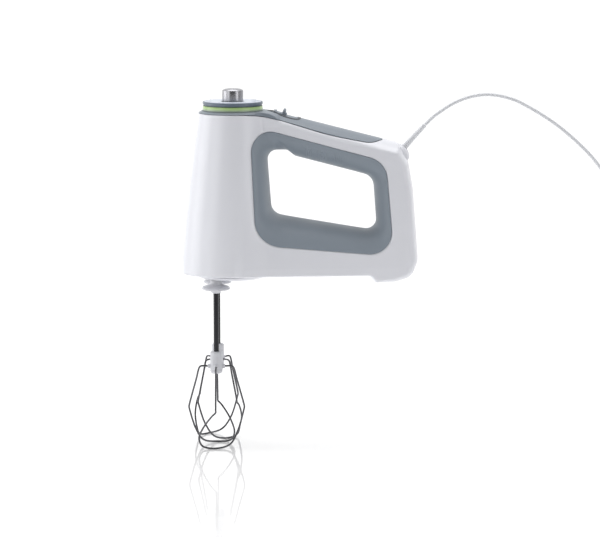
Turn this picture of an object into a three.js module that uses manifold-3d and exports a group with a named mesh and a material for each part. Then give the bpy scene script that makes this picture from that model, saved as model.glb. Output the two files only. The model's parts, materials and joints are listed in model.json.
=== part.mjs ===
// Hand mixer with two whisks, built as the separate pieces it comes apart into.
// Millimetres, +Z up. The origin is the centre of the hand grip; the whisk end is towards -X,
// the cord towards +X, and the mixer's left side is -Y.
import * as THREE from 'three';
import { mergeVertices } from 'three/addons/utils/BufferGeometryUtils.js';
import { LoftGeometry } from 'three/addons/geometries/LoftGeometry.js';
import Module from 'manifold-3d';

const wasm = await Module();
wasm.setup();

// ---- Driving dimensions ----
const GAP = 0.3; // between neighbouring pieces
const SPLIT = 0.15; // half the gap between the left and right shells
const WALL = 2.5; // housing wall
const SKIN = 2.2; // grip and cover wall
const SLOPE = 0.2523; // fall of the handle per millimetre towards the rear
const TOP_Z = 34.7; // flat top of the front barrel, under the dial
const SLOPE_START_X = -51.1; // where the handle starts to fall
const COVER_Z = 32.3; // lower edge of the top cover round the barrel
const BASE_Z = -118; // underside of the housing
const HEEL_Z = -125; // flat heel under the rear column
const MOTOR_X = -86.6; // axis of the dial, the eject button and the motor
const SPINDLE_X = -102.7;
const SPINDLE_Y = 19; // half the spacing of the two spindles
const GRIP_CENTRE = [-3, -38]; // middle of the hand opening, x and z
const DIAL_R = 28.2;
const BUTTON_R = 9.9;
const EJECT_TRAVEL = 7;
const SHAFT_R = 2.5; // whisk shafts and motor shaft
const CLEARANCE = 0.3; // radial play of shafts in their bores
const COLLAR_R = 13.5;
const KNEE_R = 26.3; // widest radius of a whisk
const WHISK_BOTTOM_Z = -283;
const WIRE_R = 0.9;
const GEAR_Z = [-106, -98]; // the two spindle gears
const SPINDLE_TEETH = 32;
const SPINDLE_MODULE = 2 * SPINDLE_Y / SPINDLE_TEETH;
const IDLER_SMALL_TEETH = 10;
const IDLER_LARGE_TEETH = 32;
const MOTOR_MODULE = 1;
const PINION_TEETH = 10;
const CORD_WIDTH = 5.2;
const FLOOR_Z = WHISK_BOTTOM_Z - WIRE_R; // what the whisks stand over and the cord lies on

// ---- Materials ----
const plain = (color, roughness, metalness = 0) =>
  new THREE.MeshStandardMaterial({ color, roughness, metalness });
const WHITE = plain(0xeef0f2, 0.25);
const SOFT_GREY = plain(0x808b98, 0.6);
const PALE_GREY = plain(0xd4d9e2, 0.4);
const GREEN = plain(0xaad282, 0.35);
const CHROME = plain(0xd8dade, 0.08, 1);
const STEEL = plain(0x9a9da2, 0.35, 1);
const LAMINATION = plain(0x5c6066, 0.5, 0.8);
const COPPER = plain(0xb8703c, 0.35, 1);
const GEAR_NYLON = plain(0xe9e4d2, 0.5);
const BRONZE = plain(0xa9824a, 0.4, 1);
const CARBON = plain(0x2b2b2d, 0.7);
const BOARD_GREEN = plain(0x2f6b46, 0.6);
const DARK_PLASTIC = plain(0x3c4046, 0.5);
const CORD_GREY = plain(0xbfc4cb, 0.45);
const PIN_STEEL = plain(0xc9cbd0, 0.25, 1);

const mixer = new THREE.Group();

// ---- Solids ----
function solidOf(geometry) {
  const bare = new THREE.BufferGeometry().copy(geometry);
  bare.deleteAttribute('normal');
  bare.deleteAttribute('uv');
  const merged = mergeVertices(bare, 1e-4);
  const index = [...merged.index.array];
  const triVerts = [];
  for (let i = 0; i < index.length; i += 3) {
    const [a, b, c] = index.slice(i, i + 3);
    if (a !== b && b !== c && c !== a) triVerts.push(a, b, c);
  }
  const make = (tris) => new wasm.Manifold(new wasm.Mesh({
    numProp: 3, vertProperties: merged.attributes.position.array, triVerts: new Uint32Array(tris),
  }));
  const solid = make(triVerts);
  return solid.volume() > 0 ? solid : make(triVerts.reverse());
}

function geometryOf(solid) {
  const mesh = solid.getMesh();
  const geometry = new THREE.BufferGeometry();
  geometry.setAttribute('position', new THREE.BufferAttribute(mesh.vertProperties, 3));
  geometry.setIndex(new THREE.BufferAttribute(mesh.triVerts, 1));
  geometry.computeVertexNormals();
  return geometry;
}

const joined = (...solids) => solids.reduce((a, b) => a.add(b));
const cut = (solid, ...tools) => tools.reduce((a, b) => a.subtract(b), solid);

function add(name, solid, material) {
  const mesh = new THREE.Mesh(geometryOf(solid), material);
  mesh.name = name;
  mixer.add(mesh);
}

const box = (x0, x1, y0, y1, z0, z1) => solidOf(
  new THREE.BoxGeometry(x1 - x0, y1 - y0, z1 - z0)
    .translate((x0 + x1) / 2, (y0 + y1) / 2, (z0 + z1) / 2));

// A solid of revolution about the vertical axis through (x, y); profile holds [radius, z] pairs.
const turned = (profile, segments = 24, x = 0, y = 0) => solidOf(
  new THREE.LatheGeometry([...profile, profile[0]].map((p) => new THREE.Vector2(...p)), segments)
    .rotateX(Math.PI / 2).translate(x, y, 0));

const disc = (r, z0, z1, x = 0, y = 0, segments = 24) =>
  turned([[0, z0], [r, z0], [r, z1], [0, z1]], segments, x, y);

const ring = (inner, outer, z0, z1, x = 0, y = 0, segments = 24) =>
  turned([[inner, z0], [outer, z0], [outer, z1], [inner, z1]], segments, x, y);

// A flat outline given in x and y, extruded from z0 up to z1.
const plate = (shape, z0, z1) => solidOf(
  new THREE.ExtrudeGeometry(shape, { depth: z1 - z0, bevelEnabled: false, curveSegments: 8 })
    .translate(0, 0, z0));

// Moves a geometry made along +Z so that it points from a point of the XZ plane along an angle.
const aim = (geometry, [x, z], degrees) => geometry
  .rotateY(Math.PI / 2 - THREE.MathUtils.degToRad(degrees)).translate(x, 0, z);

function tube(points, section, steps, type = 'centripetal') {
  const path = new THREE.CatmullRomCurve3(
    points.map((p) => new THREE.Vector3(...p)), false, type);
  return solidOf(new THREE.ExtrudeGeometry(section, { steps, bevelEnabled: false, extrudePath: path }));
}

function polygon(radiusX, radiusY, sides) {
  const points = Array.from({ length: sides }, (_, i) => {
    const a = (i + 0.5) / sides * 2 * Math.PI;
    return new THREE.Vector2(Math.cos(a) * radiusX, Math.sin(a) * radiusY);
  });
  return new THREE.Shape(points);
}

// ---- Outlines of the body in side view, as x, z and corner radius ----
const fallingTop = (x) => TOP_Z - SLOPE * Math.max(0, x - SLOPE_START_X);
const down = (z) => (COVER_Z - z) / (COVER_Z + 110); // 0 at the cover, 1 near the base
const barrelR = (z) => 32.3 + 14.1 * down(z) + 6 * down(z) * (1 - down(z));
const barrelX = (z) => MOTOR_X - 3.4 * down(z);
const frontX = (z) => barrelX(z) - barrelR(z);
// Where the top cover ends and the white housing starts.
const SEAM = [[-64, COVER_Z], [44, 5.6], [55.5, 7.8]];
const seamZ = (x) => {
  const [a, b, c] = SEAM;
  if (x < a[0]) return COVER_Z;
  const [p, q] = x < b[0] ? [a, b] : [b, c];
  return THREE.MathUtils.mapLinear(x, p[0], q[0], p[1], q[1]);
};

const FRONT = [-118.6, -90, -62, -34, -6, 16].map((z) => [frontX(z), z, z < -118 ? 6 : 60]);
const REAR = [
  [68.5, 4.5, 5], [78.5, -13.5, 13], [82.9, -38, 40], [88.3, -106, 15], [82.5, -121.8, 14],
  [66, -125.9, 12], [47.2, -125.9, 1.5], [41, -118.6, 2],
];
const HOUSING = [
  [frontX(COVER_Z), COVER_Z, 0.6], [SEAM[0][0], COVER_Z, 12], [44, 5.6, 1], [55.5, 7.8, 2],
  ...REAR, ...FRONT,
];
const SEAT = [[-67.8, 21.4, 15], [56.7, -11.5, 21], [64.4, -99.6, 18], [-62, -88.1, 24]];
const OPENING = [
  [-54.6, -2.2, 13], [-35, -2.4, 5], [-27.8, -8.2, 3.5], [45.3, -27, 12], [49.3, -79, 11],
  [-51.5, -62.2, 10],
];

// Straight sides joined by round corners.
function rounded(corners, divisions = 3) {
  const shape = new THREE.Shape();
  const at = (i) => new THREE.Vector2(...corners[(i + corners.length) % corners.length]);
  corners.forEach(([x, z, radius], i) => {
    const corner = at(i);
    const before = at(i - 1).sub(corner);
    const after = at(i + 1).sub(corner);
    const half = Math.abs(before.angleTo(after)) / 2;
    const trim = Math.min(radius / Math.tan(half), before.length() / 2, after.length() / 2);
    const from = before.setLength(trim).add(corner);
    const to = after.setLength(trim).add(corner);
    if (i) shape.lineTo(from.x, from.y);
    else shape.moveTo(from.x, from.y);
    shape.quadraticCurveTo(x, z, to.x, to.y);
  });
  shape.closePath();
  return shape.getPoints(divisions);
}

const housingLine = rounded(HOUSING);
const seatLine = rounded(SEAT, 5);
const openingLine = rounded(OPENING, 4);

// How far an outline is from the middle of the hand opening in one direction.
function reach(line, angle) {
  const [cx, cz] = GRIP_CENTRE;
  const [ux, uz] = [Math.cos(angle), Math.sin(angle)];
  let best = 0;
  line.forEach((p, i) => {
    const q = line[(i + 1) % line.length];
    const [ex, ez] = [q.x - p.x, q.y - p.y];
    const det = ux * ez - uz * ex;
    if (Math.abs(det) < 1e-9) return;
    const r = ((p.x - cx) * ez - (p.y - cz) * ex) / det;
    const t = ((p.x - cx) * uz - (p.y - cz) * ux) / det;
    if (r > best && t >= -1e-6 && t <= 1 + 1e-6) best = r;
  });
  return best;
}

const angleTo = (p) => Math.atan2(p.y - GRIP_CENTRE[1], p.x - GRIP_CENTRE[0]);

// Directions in which the shells are sliced: the corners of the silhouette, and steps between them.
function sliceAngles() {
  const full = 2 * Math.PI;
  const longest = 15; // mm between slices along the silhouette
  const closest = 3.2;
  const corners = housingLine
    .map((p) => ({ p, angle: (angleTo(p) + full) % full })).sort((a, b) => a.angle - b.angle);
  const kept = corners.filter(({ p }, i) => !i || p.distanceTo(corners[i - 1].p) > closest);
  return kept.flatMap(({ p, angle }, i) => {
    const last = i + 1 === kept.length;
    const next = last ? kept[0] : kept[i + 1];
    const turn = next.angle + (last ? full : 0) - angle;
    const steps = Math.ceil(p.distanceTo(next.p) / longest);
    return Array.from({ length: steps }, (_, k) => angle + turn * k / steps);
  });
}

// ---- Half-width of the body at a point of its side view ----
const roundOff = (depth, size, power) => {
  const t = THREE.MathUtils.clamp(1 - depth / size, 0, 1);
  return (1 - t ** power) ** (1 / power);
};
const rearX = (z) => (z > -38
  ? THREE.MathUtils.mapLinear(z, -13.5, -38, 78.5, 82.9)
  : THREE.MathUtils.mapLinear(z, -38, -106, 82.9, 88.3));
const underZ = (x) => THREE.MathUtils.clamp(
  THREE.MathUtils.mapLinear(x, 41, 47.2, BASE_Z - 0.6, HEEL_Z - 0.9), HEEL_Z - 0.9, BASE_Z - 0.6);

// The handle is slim at the top and spreads to a foot, which narrows towards the rear.
function handleWidth(x, z) {
  const low = THREE.MathUtils.clamp(THREE.MathUtils.mapLinear(z, 20, -110, 0, 1), 0, 1);
  const alongFoot = THREE.MathUtils.clamp(THREE.MathUtils.mapLinear(x, -60, 75, 0, 1), 0, 1);
  return THREE.MathUtils.lerp(20.5, THREE.MathUtils.lerp(41.5, 29, alongFoot), low);
}

// Half-width of the crowned top, which flattens out towards the barrel.
function crownWidth(x, z) {
  const depth = Math.max(0, fallingTop(x) - z);
  const flat = THREE.MathUtils.clamp(THREE.MathUtils.mapLinear(x, -42, -68, 0, 1), 0, 1);
  const radius = 31.4 * Math.exp(4.15 * flat);
  return Math.sqrt(depth * (2 * radius - Math.min(depth, radius)));
}

function halfWidth(x, z) {
  const barrel = Math.sqrt(Math.max(0, barrelR(z) ** 2 - (x - barrelX(z)) ** 2));
  const handle = handleWidth(x, z);
  const blend = 16 * THREE.MathUtils.clamp((x - barrelX(z)) / 14, 0.05, 1);
  const between = Math.abs(barrel - handle);
  const wider = Math.max(barrel, handle) + Math.max(0, blend - between) ** 2 / (4 * blend);
  const width = x < barrelX(z) ? barrel : wider;
  const side = width * roundOff(z - underZ(x), 6, 3) * roundOff(rearX(z) - x, 24, 2);
  return Math.min(side, crownWidth(x, z));
}

// ---- Shells of the body ----
// Points of one slice run along its outer face; the wall lies on their inner side.
function wallSlice(outer, thickness, innerIndices) {
  const inner = innerIndices.map((i) => {
    const before = outer[Math.max(i - 1, 0)];
    const after = outer[Math.min(i + 1, outer.length - 1)];
    const along = after.clone().sub(before).normalize();
    const moved = outer[i].clone().add(new THREE.Vector2(-along.y, along.x).multiplyScalar(thickness));
    if (i === 0) moved.x = Math.min(moved.x, outer[0].x);
    if (i === outer.length - 1) moved.x = Math.max(moved.x, outer[i].x);
    moved.y = Math.max(moved.y, SPLIT);
    return moved;
  });
  return [...outer, ...inner.reverse()];
}

function shell(slices, side) {
  const sections = slices.map(({ angle, ringPoints }) => ringPoints.map(({ x: r, y }) =>
    new THREE.Vector3(
      GRIP_CENTRE[0] + r * Math.cos(angle), side * y, GRIP_CENTRE[1] + r * Math.sin(angle))));
  return solidOf(new LoftGeometry([...sections, sections[0]], { closed: true }));
}

const pointAt = (angle, r) => [
  GRIP_CENTRE[0] + r * Math.cos(angle), GRIP_CENTRE[1] + r * Math.sin(angle)];

const HOUSING_ROWS = 6;
const FIRST_ROW = 0.012; // share of the way in at which the outer face starts
function housingSlices() {
  return sliceAngles().map((angle) => {
    const edge = reach(housingLine, angle) - SPLIT;
    const seat = reach(seatLine, angle);
    const widthAt = (r) => halfWidth(...pointAt(angle, r));
    const [x, z] = pointAt(angle, edge);
    const underCover = x < 55 && z > seamZ(x) - 0.5;
    const lip = underCover ? Math.max(widthAt(edge) - 1.2, SPLIT) : SPLIT;
    const outer = [new THREE.Vector2(edge, lip)];
    for (let k = 0; k <= HOUSING_ROWS; k++) {
      const share = Math.max(1 - Math.cos(k / HOUSING_ROWS * Math.PI / 2), FIRST_ROW);
      const r = edge - (edge - seat) * share;
      outer.push(new THREE.Vector2(r, Math.max(widthAt(r), lip + 0.3)));
    }
    return { angle, ringPoints: wallSlice(outer, WALL, [0, 2, 4, 5, HOUSING_ROWS + 1]) };
  });
}

// The soft grip falls from the seat edge to the rim of the hand opening: share of the way, and of the width.
const GRIP_FALL = [[1, 1], [0.7, 0.93], [0.4, 0.8], [0.16, 0.58], [0.03, 0.3], [0, 0]];
function gripSlices() {
  return sliceAngles().map((angle) => {
    const seat = reach(seatLine, angle) - GAP;
    const rim = reach(openingLine, angle);
    const width = halfWidth(...pointAt(angle, seat));
    const outer = GRIP_FALL.map(([share, fall]) =>
      new THREE.Vector2(rim + (seat - rim) * share, Math.max(width * fall, SPLIT)));
    return { angle, ringPoints: wallSlice(outer, SKIN, [0, 2, 4, 5]) };
  });
}

// ---- Cord outlet: a domed cap on the chamfered rear corner, with the strain relief through it ----
const CAP_AT = [73.2, -4.6];
const CAP_ANGLE = 32.5;
const CAP_R = 9.2;
const CORD_ANGLE = 47.6;
const RELIEF_START = [70.8, -4.2];
const RELIEF_LENGTH = 34;

const capBody = (r, extra) => solidOf(aim(
  new THREE.LatheGeometry([
    [0, -5 - extra], [r, -5 - extra], [r, 0], [r * 0.86, 2.2], [r * 0.6, 3.9], [r * 0.3, 4.7],
    [0, 4.9], [0, -5 - extra],
  ].map((p) => new THREE.Vector2(...p)), 24).rotateX(Math.PI / 2), CAP_AT, CAP_ANGLE));

// Elliptical sections along the strain relief: distance, half-thickness, half-width.
const RELIEF = [[0, 4.4, 4.9], [3, 4.4, 4.9], [3.2, 3, 3.6], [14, 2.6, 3.3], [24, 2.3, 3.1], [34, 2.1, 3]];
function reliefBody(extra) {
  const sections = RELIEF.map(([along, thick, wide]) => Array.from({ length: 12 }, (_, i) => {
    const a = i / 12 * 2 * Math.PI;
    return new THREE.Vector3((thick + extra) * Math.cos(a), (wide + extra) * Math.sin(a), along);
  }));
  return solidOf(aim(
    new LoftGeometry(sections, { capStart: true, capEnd: true }), RELIEF_START, CORD_ANGLE));
}

// ---- Housing, covers and grips ----
const COVER_DISC_X = -88; // middle of the bottom cover
const COVER_DISC_R = 36;
const BOSS_R = 8.3; // openings of the bottom cover round the spindle bushes

function housingHalf(side) {
  const body = shell(housingSlices(), side);
  const underBarrel = box(-150, 42, -60, 60, -140, BASE_Z);
  const underHeel = box(41, 100, -60, 60, -140, HEEL_Z);
  const hole = disc(COVER_DISC_R - 2.5, -130, -108, COVER_DISC_X, 0, 36);
  const gearRelief = disc(SPINDLE_Y + 1.5, GEAR_Z[0] - 1, GEAR_Z[1] + 1, SPINDLE_X, side * SPINDLE_Y, 32);
  return cut(body, underBarrel, underHeel, hole, gearRelief, capBody(CAP_R + GAP, 8));
}

function bottomCover() {
  const r = COVER_DISC_R;
  const cover = turned([
    [0, -122.5], [22, -122.5], [30, -121.5], [r - 0.6, -119.5], [r, -118.5],
    [r - 3, -118.4], [r - 3, -115.4], [r - 5, -115.4], [r - 6, -119.2], [0, -119.6],
  ], 36, COVER_DISC_X);
  return cut(cover, ...[-1, 1].map((s) => disc(BOSS_R, -130, -110, SPINDLE_X, s * SPINDLE_Y, 20)));
}

const SWITCH_AT = [-39, fallingTop(-39)];
// A box in the sloping frame of the handle's top: along it, across it and above its crown line.
const slopedBox = (x0, x1, y, z0, z1) => solidOf(
  new THREE.BoxGeometry(x1 - x0, 2 * y, z1 - z0)
    .translate((x0 + x1) / 2, 0, (z0 + z1) / 2)
    .rotateY(Math.atan(SLOPE)).translate(SWITCH_AT[0], 0, SWITCH_AT[1]));

function topCover() {
  const rows = 4;
  const stations = [-72, -64, -58, -51, -44, -30, -16, -2, 12, 26, 36, 40, 44, 48, 51, 53, 54.4];
  const sections = stations.map((x) => {
    const low = seamZ(x) + GAP;
    const high = fallingTop(x);
    const half = (top, bottom, inset) => Array.from({ length: rows + 1 }, (_, k) => {
      const z = top - (top - bottom) * (1 - Math.cos(k / rows * Math.PI / 2));
      return [Math.max(halfWidth(x, z + inset) - inset, 0.4 * k / rows), z];
    });
    const skin = Math.min(SKIN, (high - low) * 0.45);
    const outer = half(high, low, 0);
    outer[0][0] = 0;
    const inner = half(high - skin, low, skin);
    inner[0][0] = 0;
    const mirrored = (list) => [...list.slice(1).reverse().map(([y, z]) => [-y, z]), ...list];
    return [...mirrored(inner), ...mirrored(outer).reverse()]
      .map(([y, z]) => new THREE.Vector3(x, y, z));
  });
  const handle = solidOf(new LoftGeometry(sections, { capStart: true, capEnd: true }));
  const flare = turned([
    [0, COVER_Z + SPLIT], [32.1, COVER_Z + SPLIT], [31.7, 32.9], [28.6, TOP_Z], [0, TOP_Z],
  ], 36, MOTOR_X);
  return cut(joined(handle, flare), disc(12.9, 20, 40, MOTOR_X), slopedBox(-11, 15, 9.5, -8, 4));
}

// ---- Dial, eject button and switch ----
function dialPieces() {
  const bore = BUTTON_R + 1;
  add('speed_dial', turned([
    [bore, 29], [12.5, 29], [12.5, 35.1], [27.6, 35.1], [27.6, 36.5], [26.4, 36.5], [26.4, 39.6],
    [DIAL_R, 39.6], [DIAL_R, 42.8], [27.5, 43.5], [bore, 43.5],
  ], 32, MOTOR_X), PALE_GREY);
  add('dial_ring', ring(26.7, DIAL_R, 36.8, 39.3, MOTOR_X, 0, 32), GREEN);
  add('dial_board', ring(14, 25, 22, 23.6, MOTOR_X, 0, 24), BOARD_GREEN);
  add('dial_frame', cut(disc(27, 12, 14, MOTOR_X, 0, 24), disc(4.2, 10, 16, MOTOR_X)), DARK_PLASTIC);
}

const YOKE_Z = [5.5, 9.5]; // crossbar of the ejector yoke
const PIN_HEAD_Z = -86;
function ejectorPieces() {
  const r = BUTTON_R;
  add('eject_button', turned([
    [0, 30], [r, 30], [r, 52.6], [r - 0.5, 53.8], [r - 2, 54.9], [r - 4.5, 55.5], [0, 54.9],
  ], 24, MOTOR_X), CHROME);
  const arms = [-1, 1].flatMap((side) => {
    const [dx, dy] = [SPINDLE_X - MOTOR_X, side * SPINDLE_Y];
    const length = Math.hypot(dx, dy);
    const arm = new THREE.BoxGeometry(length + 5, 7, YOKE_Z[1] - YOKE_Z[0])
      .rotateZ(Math.atan2(dy, dx)).translate(MOTOR_X + dx / 2, dy / 2, (YOKE_Z[0] + YOKE_Z[1]) / 2);
    return [solidOf(arm), disc(1.6, PIN_HEAD_Z + GAP, YOKE_Z[0] + 1, SPINDLE_X, dy, 12)];
  });
  add('ejector_yoke', joined(disc(3, YOKE_Z[0], 30 - GAP, MOTOR_X, 0, 20), ...arms), DARK_PLASTIC);
  add('ejector_spring', tube(springPath(), polygon(0.5, 0.5, 4), 50), STEEL);
  for (const [name, side] of [['left', -1], ['right', 1]]) {
    const pin = turned([
      [0, -98.6], [2.2, -98.6], [2.2, -88.4], [4, -88.4], [4, PIN_HEAD_Z], [0, PIN_HEAD_Z],
    ], 16, SPINDLE_X, side * SPINDLE_Y);
    add(`ejector_pin_${name}`, pin, STEEL);
  }
}

function springPath() {
  const [turns, low, high, r] = [5, 14.9, 29.1, 5];
  const count = turns * 8;
  return Array.from({ length: count + 1 }, (_, i) => {
    const a = i / 8 * 2 * Math.PI;
    return [MOTOR_X + r * Math.cos(a), r * Math.sin(a), low + (high - low) * i / count];
  });
}

function switchPieces() {
  add('switch_insert', cut(slopedBox(-10.7, 14.7, 9.2, -3.4, -1.4), slopedBox(-7.5, 8, 2.3, -5, 0)),
    SOFT_GREY);
  add('switch_slider', joined(
    slopedBox(-9.5, 3, 7, -1.1, 0.3), slopedBox(-1.2, 1.8, 6, 0.2, 5), slopedBox(-8.4, -7, 5.5, 0.2, 2),
    slopedBox(-1.5, 2, 1.9, -5.5, -1),
  ), PALE_GREY);
  add('switch_body', slopedBox(-9, 13, 6.5, -15, -5.8), DARK_PLASTIC);
}

// ---- Motor ----
function motorPieces() {
  const boreR = SHAFT_R + CLEARANCE;
  const outline = new THREE.Shape().absarc(MOTOR_X, 0, 22.5, 0, 2 * Math.PI);
  const inside = new THREE.Path();
  const poleHalf = THREE.MathUtils.degToRad(36);
  const neckHalf = THREE.MathUtils.degToRad(26);
  for (const centre of [0, Math.PI]) {
    inside.absarc(MOTOR_X, 0, 14.3, centre - poleHalf, centre + poleHalf);
    inside.absarc(MOTOR_X, 0, 19, centre + neckHalf, centre + Math.PI - neckHalf);
  }
  outline.holes.push(inside);
  add('motor_stator', plate(outline, -62, -36), LAMINATION);
  for (const [name, side] of [['front', -1], ['rear', 1]]) {
    const x = [MOTOR_X + side * 11.7, MOTOR_X + side * 14].sort((a, b) => a - b);
    const coil = cut(box(...x, -12.2, 12.2, -66.5, -31.5), box(-200, 0, -9.1, 9.1, -62.4, -35.6));
    add(`field_coil_${name}`, coil, COPPER);
  }

  const slots = 8;
  const around = (radius, width, height, z0, z1) => Array.from({ length: slots }, (_, i) => solidOf(
    new THREE.BoxGeometry(height, width, z1 - z0).translate(radius, 0, (z0 + z1) / 2)
      .rotateZ((i + 0.5) / slots * 2 * Math.PI).translate(MOTOR_X, 0, 0)));
  const bore = disc(boreR, -120, 0, MOTOR_X, 0, 16);
  add('armature_core', cut(disc(13.6, -61, -37, MOTOR_X, 0, 32), bore, ...around(11, 3, 6.2, -70, -30)),
    LAMINATION);
  add('armature_winding', joined(
    ring(7.5, 11.2, -66, -61.4, MOTOR_X, 0, 16), ring(7.5, 11.2, -36.6, -32, MOTOR_X, 0, 16),
    ...around(9.9, 2.2, 3, -64, -34)), COPPER);
  add('commutator', ring(boreR, 8, -28, -18, MOTOR_X, 0, 20), COPPER);
  add('motor_shaft', disc(SHAFT_R, -97.3, -6, MOTOR_X, 0, 16), STEEL);
  const blades = Array.from({ length: 7 }, (_, i) => solidOf(new THREE.BoxGeometry(14, 1, 6.5)
    .translate(13.5, 0, -74).rotateZ(i / 7 * 2 * Math.PI).translate(MOTOR_X, 0, 0)));
  add('cooling_fan', joined(
    ring(boreR, 21, -71.2, -70, MOTOR_X, 0, 20), ring(boreR, 7.5, -78, -70, MOTOR_X, 0, 16), ...blades),
  DARK_PLASTIC);

  add('upper_bearing', ring(boreR, 6, -14, -10, MOTOR_X, 0, 16), BRONZE);
  add('lower_bearing', ring(boreR, 6, -87, -83, MOTOR_X, 0, 16), BRONZE);
  const bridge = joined(box(MOTOR_X - 7, MOTOR_X + 7, -25.6, 25.6, -14.5, -11),
    ...[-1, 1].map((s) => box(MOTOR_X - 6, MOTOR_X + 6, ...(s < 0 ? [-25.6, -23.4] : [23.4, 25.6]), -60, -12)));
  add('motor_bracket', cut(bridge, disc(6.3, -20, -5, MOTOR_X, 0, 16)), STEEL);
  for (const [name, s] of [['left', -1], ['right', 1]]) {
    const span = (near, far) => (s < 0 ? [-far, -near] : [near, far]);
    const holder = box(MOTOR_X - 4, MOTOR_X + 4, ...span(10.5, 21), -27.2, -18.8);
    const channel = box(MOTOR_X - 2.7, MOTOR_X + 2.7, ...span(5, 30), -25.9, -20.1);
    add(`brush_holder_${name}`, cut(holder, channel), BRONZE);
    add(`carbon_brush_${name}`,
      box(MOTOR_X - 2.4, MOTOR_X + 2.4, ...span(8.3, 18), -25.6, -20.4), CARBON);
  }
}

// ---- Gears ----
function gear(teeth, module, phase, z0, z1, x, y, holeR) {
  const pitch = 2 * Math.PI / teeth;
  const r = teeth * module / 2;
  const tip = r + 0.8 * module;
  const root = r - 1.25 * module;
  const corners = [[-0.36, root], [-0.11, tip], [0.11, tip], [0.36, root]];
  const points = Array.from({ length: teeth }, (_, i) => corners.map(([share, radius]) => {
    const a = phase + (i + share) * pitch;
    return new THREE.Vector2(x + radius * Math.cos(a), y + radius * Math.sin(a));
  })).flat();
  const shape = new THREE.Shape(points);
  if (holeR) shape.holes.push(new THREE.Path().absarc(x, y, holeR, 0, 2 * Math.PI));
  return plate(shape, z0, z1);
}

// The phase that puts a gap of the second gear opposite a tooth of the first.
function meshPhase(first, second) {
  const towards = Math.atan2(second.y - first.y, second.x - first.x);
  const lead = first.phase - towards;
  return towards + Math.PI - lead * first.teeth / second.teeth + Math.PI / second.teeth;
}

// Where two circles round a and b cross, on the side to the left of the way from a to b.
function crossing(a, ra, b, rb) {
  const [dx, dy] = [b.x - a.x, b.y - a.y];
  const d = Math.hypot(dx, dy);
  const along = (ra ** 2 - rb ** 2 + d ** 2) / (2 * d);
  const off = Math.sqrt(ra ** 2 - along ** 2);
  return { x: a.x + (dx * along + dy * off) / d, y: a.y + (dy * along - dx * off) / d };
}

function gearPieces() {
  const right = { x: SPINDLE_X, y: SPINDLE_Y, teeth: SPINDLE_TEETH, phase: -Math.PI / 2 };
  const left = { x: SPINDLE_X, y: -SPINDLE_Y, teeth: SPINDLE_TEETH };
  left.phase = meshPhase(right, left);
  const motor = { x: MOTOR_X, y: 0, teeth: PINION_TEETH };
  const firstStage = (PINION_TEETH + IDLER_LARGE_TEETH) * MOTOR_MODULE / 2;
  const secondStage = (IDLER_SMALL_TEETH + SPINDLE_TEETH) * SPINDLE_MODULE / 2;
  const idler = crossing(motor, firstStage, right, secondStage);
  const idlerSmall = { ...idler, teeth: IDLER_SMALL_TEETH };
  idlerSmall.phase = meshPhase(right, idlerSmall);
  const idlerLarge = { ...idler, teeth: IDLER_LARGE_TEETH, phase: 0 };
  motor.phase = meshPhase(idlerLarge, motor);

  const idlerBore = 2 + CLEARANCE;
  add('idler_gear', joined(
    gear(idlerLarge.teeth, MOTOR_MODULE, idlerLarge.phase, -96, -90.5, idler.x, idler.y, idlerBore),
    gear(idlerSmall.teeth, SPINDLE_MODULE, idlerSmall.phase, GEAR_Z[0], -95.9, idler.x, idler.y, idlerBore)),
  GEAR_NYLON);
  add('motor_pinion', gear(motor.teeth, MOTOR_MODULE, motor.phase, -97, -89.5, MOTOR_X, 0,
    SHAFT_R + CLEARANCE), STEEL);
  add('idler_pin', disc(2, -111.5, -84.9, idler.x, idler.y, 16), STEEL);

  const plates = [[-88, -84.6], [-112, -109.2]].map(([z0, z1]) => disc(30, z0, z1, -90, 0, 28));
  const pillars = [[-117, 0], [-76, -24], [-63.5, -6]]
    .map(([x, y]) => disc(2, -110, -86, x, y, 8));
  const bores = [disc(6.3, -90, -80, MOTOR_X, 0, 16), disc(idlerBore, -120, -80, idler.x, idler.y, 16),
    ...[left, right].map(({ x, y }) => disc(BOSS_R, -120, -100, x, y, 20)),
    ...[left, right].map(({ x, y }) => disc(4.4, -90, -80, x, y, 16))];
  add('gear_frame', cut(joined(...plates, ...pillars), ...bores), DARK_PLASTIC);

  for (const [name, g] of [['left', left], ['right', right]]) {
    add(`spindle_${name}`, ring(SHAFT_R + CLEARANCE, 6, -119.6, -96.2, g.x, g.y, 16), STEEL);
    add(`spindle_gear_${name}`, gear(g.teeth, SPINDLE_MODULE, g.phase, ...GEAR_Z, g.x, g.y, 6.3),
      GEAR_NYLON);
    add(`spindle_bush_${name}`, ring(6.3, 8, -119.6, -107, g.x, g.y, 20), BRONZE);
  }
}

// ---- Whisks ----
const HUB_Z = [-213, -192];
const BOSS_Z = -206.3; // where the wires leave the hub

// One wire: from the hub down one leg, round the bottom and up the leg a quarter turn on.
// The two whisks curl opposite ways, so that they stay clear of each other as they turn.
function wirePath(x, y, start, hand) {
  const route = [
    // quarter turns from the first leg, radius, height
    [0, 8.4, BOSS_Z], [0, 14.6, BOSS_Z], [0, 16.2, -207.6], [0, 19.2, -218.6], [0, 25.9, -243.2],
    [0, KNEE_R, -245.6], [-0.08, 25.9, -249], [-0.35, 23.3, -262], [-0.57, 20.9, -274], [-0.5, 18.6, -281],
    [0, 14, WHISK_BOTTOM_Z], [0.62, 15.8, -280], [0.89, 20.4, -268], [0.99, 25.8, -248.5],
    [1, KNEE_R, -245.6], [1, 25.9, -243.2], [1, 19.2, -218.6], [1, 16.2, -207.6], [1, 14.6, BOSS_Z],
    [1, 8.4, BOSS_Z],
  ];
  return route.map(([quarter, r, z]) => {
    const a = start + hand * quarter * Math.PI / 2;
    return [x + r * Math.cos(a), y + r * Math.sin(a), z];
  });
}

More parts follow.
